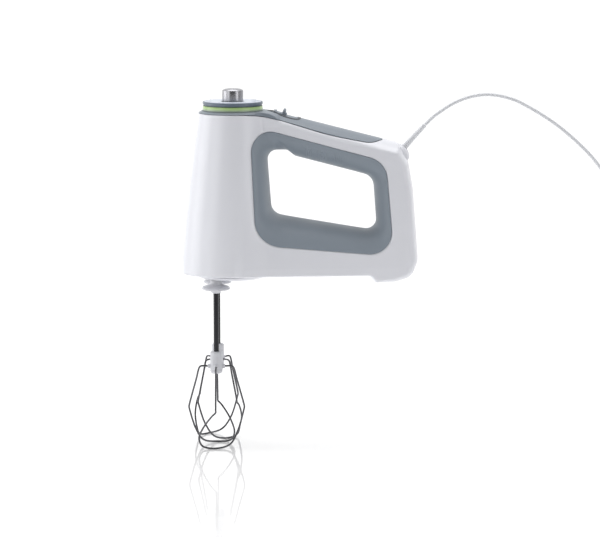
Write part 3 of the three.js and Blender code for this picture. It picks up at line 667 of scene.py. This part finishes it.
def slice_angles(line, spacing):
    """Directions from the grip centre to points at even spacing along an outline."""
    closed = np.vstack([line, line[:1]])
    run = np.concatenate([[0], np.cumsum(np.linalg.norm(np.diff(closed, axis=0), axis=1))])
    at = np.arange(0, run[-1], spacing)
    x = np.interp(at, run, closed[:, 0]) - GRIP_CENTRE[0]
    z = np.interp(at, run, closed[:, 1]) - GRIP_CENTRE[1]
    return np.unique(np.round(np.arctan2(z, x) % (2 * math.pi), 5))


HANDLE_WIDTH = 20.5  # half-width along the handle's top
FOOT_WIDTH = (41.5, 29.0)  # half-width of the handle's foot at the barrel and at the rear
CROWN_R = 31.4  # roundness of the handle's top, which flattens towards the dial


def side_width(x, z):
    """Half-width of the barrel and handle before their edges are rounded."""
    radius, middle = barrel_r(z), barrel_x(z)
    barrel = np.sqrt(np.maximum(0, radius**2 - (x - middle) ** 2))
    low = np.clip((20 - z) / 130, 0, 1)
    foot = FOOT_WIDTH[0] + (FOOT_WIDTH[1] - FOOT_WIDTH[0]) * np.clip((x + 60) / 135, 0, 1)
    handle = HANDLE_WIDTH + (foot - HANDLE_WIDTH) * low
    blend = (4 + 12 * low**2) * np.clip((x - middle) / 14, 0, 1) + 0.01
    return np.where(x < middle, barrel, smooth_max(barrel, handle, blend))


def crown_width(x, z):
    """Half-width of the crowned top surface at a height below its crest."""
    depth = np.maximum(0, falling_top(x) - z)
    radius = CROWN_R * np.exp(4.15 * np.clip((-42 - x) / 26, 0, 1))
    round_part = np.minimum(depth, radius) ** 2 * (radius < 60)
    return np.sqrt(np.maximum(0, 2 * radius * depth - round_part))


def half_width(x, z, rounding=1.0):
    """Half-width of the body, with its sides drawn in by a share where its edges are rounded."""
    crease = 1.2 + 2.4 * (1 - smoothstep(10, 60, x))
    return smooth_min(side_width(x, z) * rounding, crown_width(x, z), crease)


def edge_rounding(x, z):
    """How far in from the silhouette the body is rounded: little at the front, most at the rear."""
    base = 3.2 * smoothstep(-84, -112, z)
    rear = 7 * smoothstep(30, 70, x)
    return 0.4 + smooth_max(base, rear, 3.0)


# ---- White housing, soft grips ----
def seam_roll(depth, radius):
    """How far a moulded edge falls away at a distance inside its corner."""
    t = np.clip(1 - depth / radius, 0, 1)
    return radius * (1 - np.sqrt(1 - t * t))


def side_view(angles, r):
    """x and z of points at distances from the grip centre, one row for each direction."""
    return (GRIP_CENTRE[0] + r * np.cos(angles)[:, None],
            GRIP_CENTRE[1] + r * np.sin(angles)[:, None])


def polar_points(angles, r, y, side):
    x, z = side_view(angles, r)
    return np.stack([x, side * y, z], axis=2)


def flattened(points):
    """The underside is cut flat, one height under the bar and one under the heel."""
    step = smoothstep(41.5, 47.5, points[..., 0])
    base = BASE_Z + (HEEL_Z - BASE_Z) * step
    points[..., 2] = np.maximum(points[..., 2], base)
    return points


def housing_half(name, side):
    """A white half-shell in slices round the grip centre: lip at the seam, outer side, inner side."""
    outline = housing_outline()
    angles = slice_angles(outline, 1.25)
    edge = reach(outline, angles) - 0.12
    seat = reach(rounded(SEAT, 14), angles)
    rows, wall, lip_depth, bevel = 46, 2.5, 2.4, 0.9
    bare = (outline[:, 0] > SEAM_END[0] - 0.1) | (outline[:, 1] < seam_z(outline[:, 0]) - 0.3)

    def width(r):
        x, z = side_view(angles, r)
        depth = np.maximum(0, inset(outline, bare, x, z) - 0.1)
        return half_width(x, z, round_off(depth, edge_rounding(x, z), 2.3))

    share = 1 - np.cos(np.linspace(0, math.pi / 2, rows + 1))
    r = edge[:, None] - (edge - seat)[:, None] * share[None, :]
    rim = width(edge[:, None])
    open_edge = rim > 3  # where the top cover lies on the shell
    y = width(r)
    y = y - np.where(open_edge, seam_roll(edge[:, None] - r, 0.6), 0)
    y = y - seam_roll(r - seat[:, None], bevel)
    y = np.maximum(y, SPLIT)
    lip = np.maximum(rim - lip_depth, SPLIT)
    inner_r = np.stack([seat + 0.02, seat + 4, seat + (edge - seat) * 0.3, seat + (edge - seat) * 0.6,
                        edge - 6, edge - wall], axis=1)
    inner_y = np.maximum(width(inner_r) - wall - 0.4, SPLIT)
    inner_y[:, -1] = np.minimum(inner_y[:, -1], np.maximum(lip[:, 0], SPLIT))
    ring_r = np.concatenate([edge[:, None], r, inner_r], axis=1)
    ring_y = np.concatenate([lip, y, inner_y], axis=1)
    points = flattened(polar_points(angles, ring_r, ring_y, side))
    return loft(name, points, closed=True)


def grip_half(name, side):
    """A soft half-grip in slices: from the seat in the shell it curves in to the hand opening."""
    outline = housing_outline()
    ribs = np.arctan2(-8 - GRIP_CENTRE[1], np.arange(-24, 22, 0.3) - GRIP_CENTRE[0])
    angles = np.unique(np.round(np.concatenate([slice_angles(outline, 1.6), ribs]), 5))
    seat = reach(rounded(SEAT, 14), angles) - 0.12
    rim = reach(rounded(OPENING, 10), angles)
    rows, skin = 34, 2.2
    full = half_width(*side_view(angles, seat[:, None]))
    share = np.cos(np.linspace(0, math.pi / 2, rows + 1)) ** 1.15
    r = rim[:, None] + (seat - rim)[:, None] * share[None, :]
    fall = np.sqrt(np.clip(1 - (1 - share) ** 2.05, 0, 1))[None, :]
    y = full * (0.94 * fall + 0.06 * share[None, :]) - seam_roll(seat[:, None] - r, 0.45)
    y = np.maximum(y + rib_height(*side_view(angles, r)), SPLIT)
    inner_share = np.array([0.02, 0.12, 0.3, 0.6, 0.85, 1.0])[None, :]
    inner_r = rim[:, None] + skin + (seat - rim - skin)[:, None] * inner_share
    inner_fall = np.sqrt(1 - (1 - inner_share) ** 2)
    inner_y = np.maximum((full - skin) * inner_fall - 0.4, SPLIT)
    ring_r = np.concatenate([r, inner_r], axis=1)
    ring_y = np.concatenate([y, inner_y], axis=1)
    return loft(name, polar_points(angles, ring_r, ring_y, side), closed=True)


def rib_height(x, z):
    """Fine upright anti-slip ribs where the fingertips press, on the side of the upper bar."""
    pitch, height = 2.0, 0.5
    middle = -8.6 - SLOPE * x
    inside = smoothstep(-23, -18, x) * smoothstep(21, 16, x)
    inside = inside * smoothstep(8, 5.5, np.abs(z - middle))
    return height * (0.5 + 0.5 * np.cos(x / pitch * 2 * math.pi)) * inside


def body_shells():
    """Both white shells, with room for the bottom cover and the cord outlet, and their soft grips."""
    for side, name in ((-1, "left"), (1, "right")):
        shell = housing_half(f"shell_{name}", side)
        combine(shell, bore_tool(COVER_HOLE_R, -130, -108, COVER_DISC_X, 0))
        combine(shell, cap_solid("cap_hole", CAP_R + 0.3, 8))
        finish(shell, "white_shell", "housing", [f"housing_{name}"])
        grip = grip_half(f"soft_grip_{name}", side)
        finish(grip, "soft_grip", "housing", [f"grip_{name}"], sharp=60)


# ---- Top cover with the switch ----
SWITCH_X = -39.0
SWITCH_OUTLINE = dict(centre=-33.0, front=21.0, rear=10.5, half=11.8)
SADDLE_START_X = -56.0
SADDLE_DROP = 0.35
# Painted shade: rise and width of the dark strip round the switch saddle.
SEAM_SHADE_RISE = 0.35
SEAM_SHADE_WIDTH = 1.8


def cone_z(x, y):
    """Surface of the conical collar under the dial."""
    r = np.hypot(x - MOTOR_X, y)
    return TOP_Z - np.maximum(0, r - CONE_R) * 0.58


def cover_section(x, low, top, drop):
    """One cross-section of the top cover between its seam and its crest: outside over, inside back."""
    rows, skin, roll = 22, 2.2, 0.7
    edge = float(half_width(x, np.array(low)))
    y = edge * np.sin(np.linspace(0, math.pi / 2, rows + 1))
    z = crest_height(x, y, low, top)
    z = np.minimum(z, cone_z(x, y) + max(0.0, x + 66) * 0.6)
    z = np.maximum(z - seam_roll(edge - y, min(roll, (top - low) * 0.3)), low) - drop
    inner_y = y * max(0.2, (edge - skin) / edge)
    inner_z = np.minimum(np.maximum(z - skin, low - drop - 0.6), z - 0.1)
    across = np.concatenate([-y[::-1], y[1:], inner_y[::-1], -inner_y[1:]])
    height = np.concatenate([z[::-1], z[1:], inner_z[::-1], inner_z[1:]])
    return np.stack([np.full(across.shape, x), across, height], axis=1)


def cover_solid(name, drop=0.0, first=-72.0):
    """The crowned cover along the top of the handle, lowered by drop and starting at x = first."""
    tip = np.linspace(50, SEAM_END[0] - 0.4, 24)
    rings = []
    for x in np.unique(np.concatenate([np.linspace(first, 50, 120), tip])):
        low = float(seam_z(x)) + SEAM_GAP
        top = float(falling_top(x))
        if top - low >= 0.15:
            rings.append(cover_section(x, low, top, drop))
    return loft(name, rings)


def crest_height(x, y, low, top):
    """Height of the crown at a distance from the middle, by reading its width backwards."""
    heights = top - (top - low) * (1 - np.cos(np.linspace(0, math.pi / 2, 60)))
    widths = half_width(np.full_like(heights, x), heights)
    widths = np.maximum.accumulate(widths)
    return np.interp(y, widths, heights)


def switch_prism(name, grow):
    """An upright prism on the egg-shaped outline of the switch saddle, widened all round by grow."""
    o = SWITCH_OUTLINE
    angles = np.linspace(0, 2 * math.pi, 96, endpoint=False)
    points = []
    for a in angles:
        c, s = math.cos(a), math.sin(a)
        reach_x, power = (o["rear"], 3.0) if c > 0 else (o["front"], 1.9)
        points.append((
            o["centre"] + (reach_x + grow) * math.copysign(abs(c) ** (2 / power), c),
            (o["half"] + grow) * math.copysign(abs(s) ** (2 / power), s),
        ))
    return loft(name, [[(x, y, z) for x, y in points] for z in (8.0, 46.0)])


def top_cover():
    """Soft cover with its collar under the dial, the switch saddle, and a dark strip round the saddle
    that is painted shade for its seam.
    """
    skin = cover_solid("cover_skin")
    collar = lathe("collar", [
        (13, 32.4, 0), (32.15, 32.55, 0.2), (31.9, 33.0, 0.6), (CONE_R, TOP_Z, 0.5), (13, TOP_Z, 0.3),
    ], MOTOR_X, 0, 160)
    combine(skin, collar, "UNION")
    combine(skin, switch_prism("switch_hole", 0.0))
    finish(skin, "top_cover_grey", "housing", ["top_cover"], sharp=32)
    insert = cover_solid("switch_saddle", SADDLE_DROP, SADDLE_START_X)
    combine(insert, switch_prism("switch_edge", -0.2 - SEAM_SHADE_WIDTH), "INTERSECT")
    finish(insert, "top_cover_grey", "housing", ["switch_insert"], sharp=32)
    # Painted shade: a dark plastic strip round the saddle stands in for the shade in the seam between
    # saddle and cover.
    seam_shade = cover_solid("switch_seam_shade", -SEAM_SHADE_RISE, SADDLE_START_X)
    combine(seam_shade, switch_prism("seam_shade_outside", -0.1), "INTERSECT")
    combine(seam_shade, switch_prism("seam_shade_inside", -0.1 - SEAM_SHADE_WIDTH))
    finish(seam_shade, "dark_plastic", "housing", ["switch_insert"], sharp=32)
    slider()


def sloped(piece):
    """Turns a piece made level round the origin to the slope of the handle's top, at the switch."""
    place = Matrix.Translation(Vector((SWITCH_X, 0, float(falling_top(SWITCH_X)))) * MM)
    return moved(piece, place @ Matrix.Rotation(math.atan(SLOPE), 4, "Y"))


def ridge(name, x, half_length, width, height):
    """A thumb ridge with a rounded top, sloping on its front."""
    section = rounded([
        (x - width * 0.75, -1.5, 0), (x - width * 0.5, 0, 0.6), (x - width * 0.25, height, 0.7),
        (x + width * 0.3, height, 0.8), (x + width * 0.55, 0, 0.6), (x + width * 0.6, -1.5, 0),
    ], 5)
    rings = []
    for t in np.linspace(-1, 1, 17):
        y = half_length * t
        sink = height * 0.5 * abs(t) ** 6 + y * y / 62
        rings.append([(px, y, max(pz - sink, -3.0)) for px, pz in section])
    return loft(name, rings)


def slider():
    """Light thumb pad with a low and a tall ridge."""
    pad = []
    for x in np.linspace(-9.5, 3.2, 20):
        ease = 1 - abs((x + 3.15) / 6.5) ** 8
        half = 6.9 * max(ease, 0.2) ** 0.25
        ys = np.linspace(-half, half, 21)
        top = [(x, y, 0.75 - y * y / 62 + 0.02 * (x + 3) ** 2) for y in ys]
        bottom = [(x, y, -1.4 - y * y / 62) for y in ys[::-1]]
        pad.append(top + bottom)
    base = sloped(loft("slider_pad", pad))
    tall = sloped(ridge("slider_ridge", 0.4, 6.2, 3.8, 5.0))
    low = sloped(ridge("slider_low_ridge", -7.6, 5.6, 2.6, 2.0))
    combine(base, tall, "UNION")
    combine(base, low, "UNION")
    finish(base, "top_cover_grey", "switch_slider", ["switch_slider"], sharp=50)


# ---- Dial and eject button ----
def dial():
    """Dark rim, pale top with its tick marks, and the lime band under the rim."""
    bore = BUTTON_R + 0.8
    rim = lathe("dial_rim", [
        (bore, 36, 0), (26.4, 36, 0.2), (26.4, 39.7, 0), (27.5, 39.75, 0.2), (27.6, 40.6, 0.2),
        (DIAL_R, 40.8, 0.3), (DIAL_R + 0.05, 42.4, 0.3), (DIAL_R - 0.3, 43.1, 0.6), (27.2, 43.25, 0.4),
        (26.8, 42.9, 0.1), (bore, 42.9, 0),
    ], MOTOR_X, 0, 200)
    finish(rim, "rim_grey", "speed_dial", ["speed_dial"], sharp=30)
    knob = lathe("dial_cap", [
        (bore, 42.95, 0), (26.75, 42.95, 0.1), (26.7, 43.3, 0.2), (26.2, 43.5, 0.4), (13.4, 43.45, 0.5),
        (bore + 0.4, 43.25, 0.3), (bore, 43.0, 0.1),
    ], MOTOR_X, 0, 200)
    for k in range(9):
        a = math.radians(-210 + 30 * k)
        tick = soft_box("tick", (1.6 + 0.45 * k, 0.75, 0.5), (0, 0, 43.55), 0.18)
        moved(tick, Matrix.Translation(Vector((MOTOR_X, 0, 0)) * MM) @ Matrix.Rotation(a, 4, "Z")
              @ Matrix.Translation(Vector((24.4 - 0.22 * k, 0, 0)) * MM))
        combine(knob, tick, "UNION")
    finish(knob, "pale_grey", "speed_dial", sharp=30)
    band = lathe("dial_band", [
        (26.6, 35.0, 0), (28.35, 35.0, 0.2), (28.3, 36.6, 0.8), (27.85, 39.45, 0.3), (26.6, 39.45, 0),
    ], MOTOR_X, 0, 200)
    finish(band, "lime_green", "speed_dial", ["dial_ring"], sharp=40)


def eject_button():
    r = BUTTON_R
    cap = lathe("eject_cap", [
        (0, 31, 0), (r - 0.6, 31, 0.2), (r - 0.6, 43.0, 0.1), (r, 43.6, 0.2), (r, 53.4, 0.5),
        (r - 0.7, 53.9, 0.5), (r - 2.4, 54.7, 2.0), (r - 5.2, 55.3, 3.0), (0.05, 55.4, 0), (0, 55.4, 0),
    ], MOTOR_X, 0, 160)
    finish(cap, "chrome", "eject_button", ["eject_button"], sharp=30)


# ---- Bottom cover and cord cap ----
def bottom_cover():
    """Shallow lens with a hole for each whisk."""
    r = COVER_DISC_R
    cover = lathe("base_cover", [
        (0, -124.2, 0), (20, -124.2, 8), (30.5, -123.0, 6), (r - 0.7, -120.8, 1.2), (r, -119.7, 0.3),
        (r - 0.5, -119.45, 0.1), (r - 3.4, -119.45, 0), (r - 3.4, -115.4, 0), (r - 5, -115.4, 0),
        (r - 6, -120.6, 0), (0, -121.0, 0),
    ], COVER_DISC_X, 0, 160)
    for side in (-1, 1):
        combine(cover, bore_tool(SPINDLE_HOLE_R, -130, -110, SPINDLE_X, side * SPINDLE_Y, 64))
    finish(cover, "white_shell", "housing", ["bottom_cover"])


CAP_AT = (73.2, -4.6)
CAP_ANGLE = 32.5
CAP_R = 9.2


def cap_solid(name, r, extra):
    """The low dome of the cord outlet, set square to the rear corner; extra lengthens its foot."""
    cap = lathe(name, [
        (0, -5 - extra, 0), (r, -5 - extra, 0), (r, 0.3, 1.2), (r * 0.86, 2.4, 3), (r * 0.58, 4.0, 4),
        (r * 0.28, 4.75, 4), (0, 4.9, 0),
    ])
    place = Matrix.Translation(Vector((CAP_AT[0], 0, CAP_AT[1])) * MM)
    return moved(cap, place @ Matrix.Rotation(math.radians(90 - CAP_ANGLE), 4, "Y"))


def cord_cap():
    cap = cap_solid("outlet_cap", CAP_R, 0)
    for first, last, thick, wide in ((-4, 3.3, 4.6, 5.1), (3.2, 16, 3.5, 4.1)):
        combine(cap, relief_loft("outlet_bore", [(first, thick, wide), (last, thick, wide)]))
    finish(cap, "white_shell", "housing", ["cord_cap"], sharp=40)


# ---- Whisks ----
WHISK_BORE_R = SHAFT_R + 0.15  # hole of the collar and the hub on the shaft
HUB_Z = (-213.0, -192.0)
BOSS_Z = -206.3
WIRE_ROUTE = [  # quarter turns round the whisk's axis, distance from it and height
    (0, 7.4, BOSS_Z), (0, 14.6, BOSS_Z), (0, 16.2, -207.6), (0, 19.2, -218.6), (0, 25.9, -243.2),
    (0, KNEE_R, -245.6), (-0.08, 25.9, -249), (-0.35, 23.3, -262), (-0.57, 20.9, -274),
    (-0.5, 18.6, -281), (0, 14, WHISK_BOTTOM_Z), (0.62, 15.8, -280), (0.89, 20.4, -268),
    (0.99, 25.8, -248.5), (1, KNEE_R, -245.6), (1, 25.9, -243.2), (1, 19.2, -218.6),
    (1, 16.2, -207.6), (1, 14.6, BOSS_Z), (1, 7.4, BOSS_Z),
]


def whisk_shaft(name, x, y, body):
    shaft = lathe(f"shaft_{name}", [
        (0, -205, 0), (SHAFT_R, -205, 0), (SHAFT_R, -114, 0.3), (1.9, -113.2, 0.3), (1.9, -111.4, 0.3),
        (SHAFT_R, -110.6, 0.3), (SHAFT_R, -99, 0.9), (0, -99, 0),
    ], x, y, 48)
    finish(shaft, "shaft_chrome", body, [f"whisk_shaft_{name}"], sharp=40)


def splash_collar(name, x, y, body):
    collar = lathe(f"splash_collar_{name}", [
        (WHISK_BORE_R, -120.4, 0), (5.2, -120.4, 0.5), (5.6, -127.6, 3.0), (12.2, -129.9, 2.0),
        (COLLAR_R, -131.2, 0.8), (13.0, -132.3, 0.8), (5.4, -133.6, 2.0), (4.4, -135.9, 0.6),
        (WHISK_BORE_R, -136, 0),
    ], x, y, 96)
    finish(collar, "white_trim", body, [f"whisk_collar_{name}"], sharp=45)


def whisk_hub(name, x, y, body, turn):
    """The moulded hub and the four bosses that hold the wires' ends."""
    low, high = HUB_Z
    hub = lathe(f"hub_{name}", [
        (0, low, 0), (4.7, low, 0.8), (5.85, low + 1.7, 1.0), (5.85, high - 1.0, 0.7),
        (4.9, high, 0.5), (3.4, high + 0.05, 0.3), (0, high, 0),
    ], x, y, 64)
    for k in range(4):
        boss = lathe("boss", [(0, 0, 0), (2.25, 0, 0), (2.15, 7.6, 0.6), (1.3, 8.3, 0.3), (0, 8.3, 0)],
                     segments=32)
        moved(boss, Matrix.Translation(Vector((x, y, BOSS_Z)) * MM)
              @ Matrix.Rotation(turn + k * math.pi / 2, 4, "Z") @ Matrix.Rotation(math.pi / 2, 4, "Y"))
        combine(hub, boss, "UNION")
    combine(hub, bore_tool(WHISK_BORE_R, -205.4, -180, x, y, 48))
    finish(hub, "white_trim", body, [f"whisk_hub_{name}"], sharp=40)


def whisk(name, side, turn):
    """One whisk on its spindle; the two curl opposite ways and are turned to mesh with each other."""
    x, y = SPINDLE_X, side * SPINDLE_Y
    body = f"whisk_{name}"
    whisk_shaft(name, x, y, body)
    splash_collar(name, x, y, body)
    whisk_hub(name, x, y, body, turn)
    for label, start in (("a", -math.pi / 2), ("b", math.pi / 2)):
        points = []
        for quarter, r, z in WIRE_ROUTE:
            a = start + turn - side * quarter * math.pi / 2
            points.append((x + r * math.cos(a), y + r * math.sin(a), z))
        wire = tube(f"wire_{name}_{label}", spline(points, 0.8), oval(WIRE_R, WIRE_R, 14), (0, 0, 1))
        replaced = [f"whisk_wire_{name}_{label}"]
        finish(wire, "wire_chrome", body, replaced, sharp=50)


# ---- Working parts inside, which stay as the frame has them ----
def inner_parts():
    slots = {row["node"]: row["material_slot"] for row in frame["record"]["subparts"]}
    for name, node in frame["nodes"].items():
        node.data.materials.clear()
        node.data.materials.append(MATERIALS[slots[name]])


# ---- Floor and light ----
FLOOR_X = 80.0
FLOOR_R = 900.0
SKY_BEHIND = 1.2  # strength of the studio's far side
SKY_SEEN = 1.1  # strength where the viewer sees past the table
LIT_POINT = Vector((-20, 0, -60))


def floor():
    """A round glossy white table; past its edge the studio is as white as the table."""
    angles = np.arange(160) / 160 * 2 * math.pi
    rim = [(FLOOR_X + FLOOR_R * math.cos(a), FLOOR_R * math.sin(a), FLOOR_Z - 0.1) for a in angles]
    plane = make("floor", rim, [tuple(range(len(rim)))])
    n = Nodes("floor_gloss")
    n.set(Base_Color=(0.86, 0.86, 0.86, 1), IOR=2.1)
    n.set(Emission_Color=(1, 1, 1, 1), Emission_Strength=0.10)
    n.link(n.spread(n.noise(3, 2), 0.045, 0.06), n.shader.inputs["Roughness"])
    plane.data.materials.append(n.material)


def sky():
    """Light from all round, dim on the viewer's side and bright behind; seen directly it is white."""
    world = bpy.data.worlds.new("studio")
    bpy.context.scene.world = world
    world.use_nodes = True
    tree = world.node_tree
    background = tree.nodes["Background"]
    place = tree.nodes.new("ShaderNodeTexCoord")
    split = tree.nodes.new("ShaderNodeSeparateXYZ")
    tree.links.new(place.outputs["Generated"], split.inputs["Vector"])
    ramp = tree.nodes.new("ShaderNodeMapRange")
    for key, value in (("From Min", -1.0), ("From Max", 1.0), ("To Min", 0.0), ("To Max", SKY_BEHIND)):
        ramp.inputs[key].default_value = value
    tree.links.new(split.outputs["Y"], ramp.inputs["Value"])
    path = tree.nodes.new("ShaderNodeLightPath")
    seen = tree.nodes.new("ShaderNodeMix")
    seen.data_type = "FLOAT"
    tree.links.new(path.outputs["Is Camera Ray"], seen.inputs["Factor"])
    tree.links.new(ramp.outputs["Result"], seen.inputs["A"])
    seen.inputs["B"].default_value = SKY_SEEN
    background.inputs["Color"].default_value = (1, 1, 1, 1)
    tree.links.new(seen.outputs["Result"], background.inputs["Strength"])


def lamp(name, place, size, power):
    data = bpy.data.lights.new(name, "AREA")
    data.shape = "RECTANGLE"
    data.size, data.size_y = size[0] * MM, size[1] * MM
    data.energy = power
    holder = placed(name, data)
    place = Vector(place)
    holder.location = place * MM
    holder.rotation_euler = (LIT_POINT - place).to_track_quat("-Z", "Y").to_euler()


def lights():
    lamp("left", (-1500, 0, 0), (900, 1300), 9.0)
    lamp("left_front", (-1150, -1000, 100), (700, 1300), 5.0)
    lamp("left_back", (-1100, 1100, 100), (900, 1300), 1.2)
    lamp("right_front", (1150, -1000, 100), (700, 1300), 5.2)
    lamp("top", (0, 200, 1500), (1400, 1000), 17)
    lamp("top_front", (0, -1300, 1200), (1400, 800), 1.8)
    lamp("low_front", (0, -1500, -200), (1600, 300), 1.2)
    bpy.context.scene.view_settings.view_transform = "Standard"


# ---- Assembly ----
materials()
camera()
cords()
body_shells()
top_cover()
dial()
eject_button()
bottom_cover()
cord_cap()
whisk("left", -1, 0.0)
whisk("right", 1, math.pi / 4)
inner_parts()
floor()
sky()
lights()
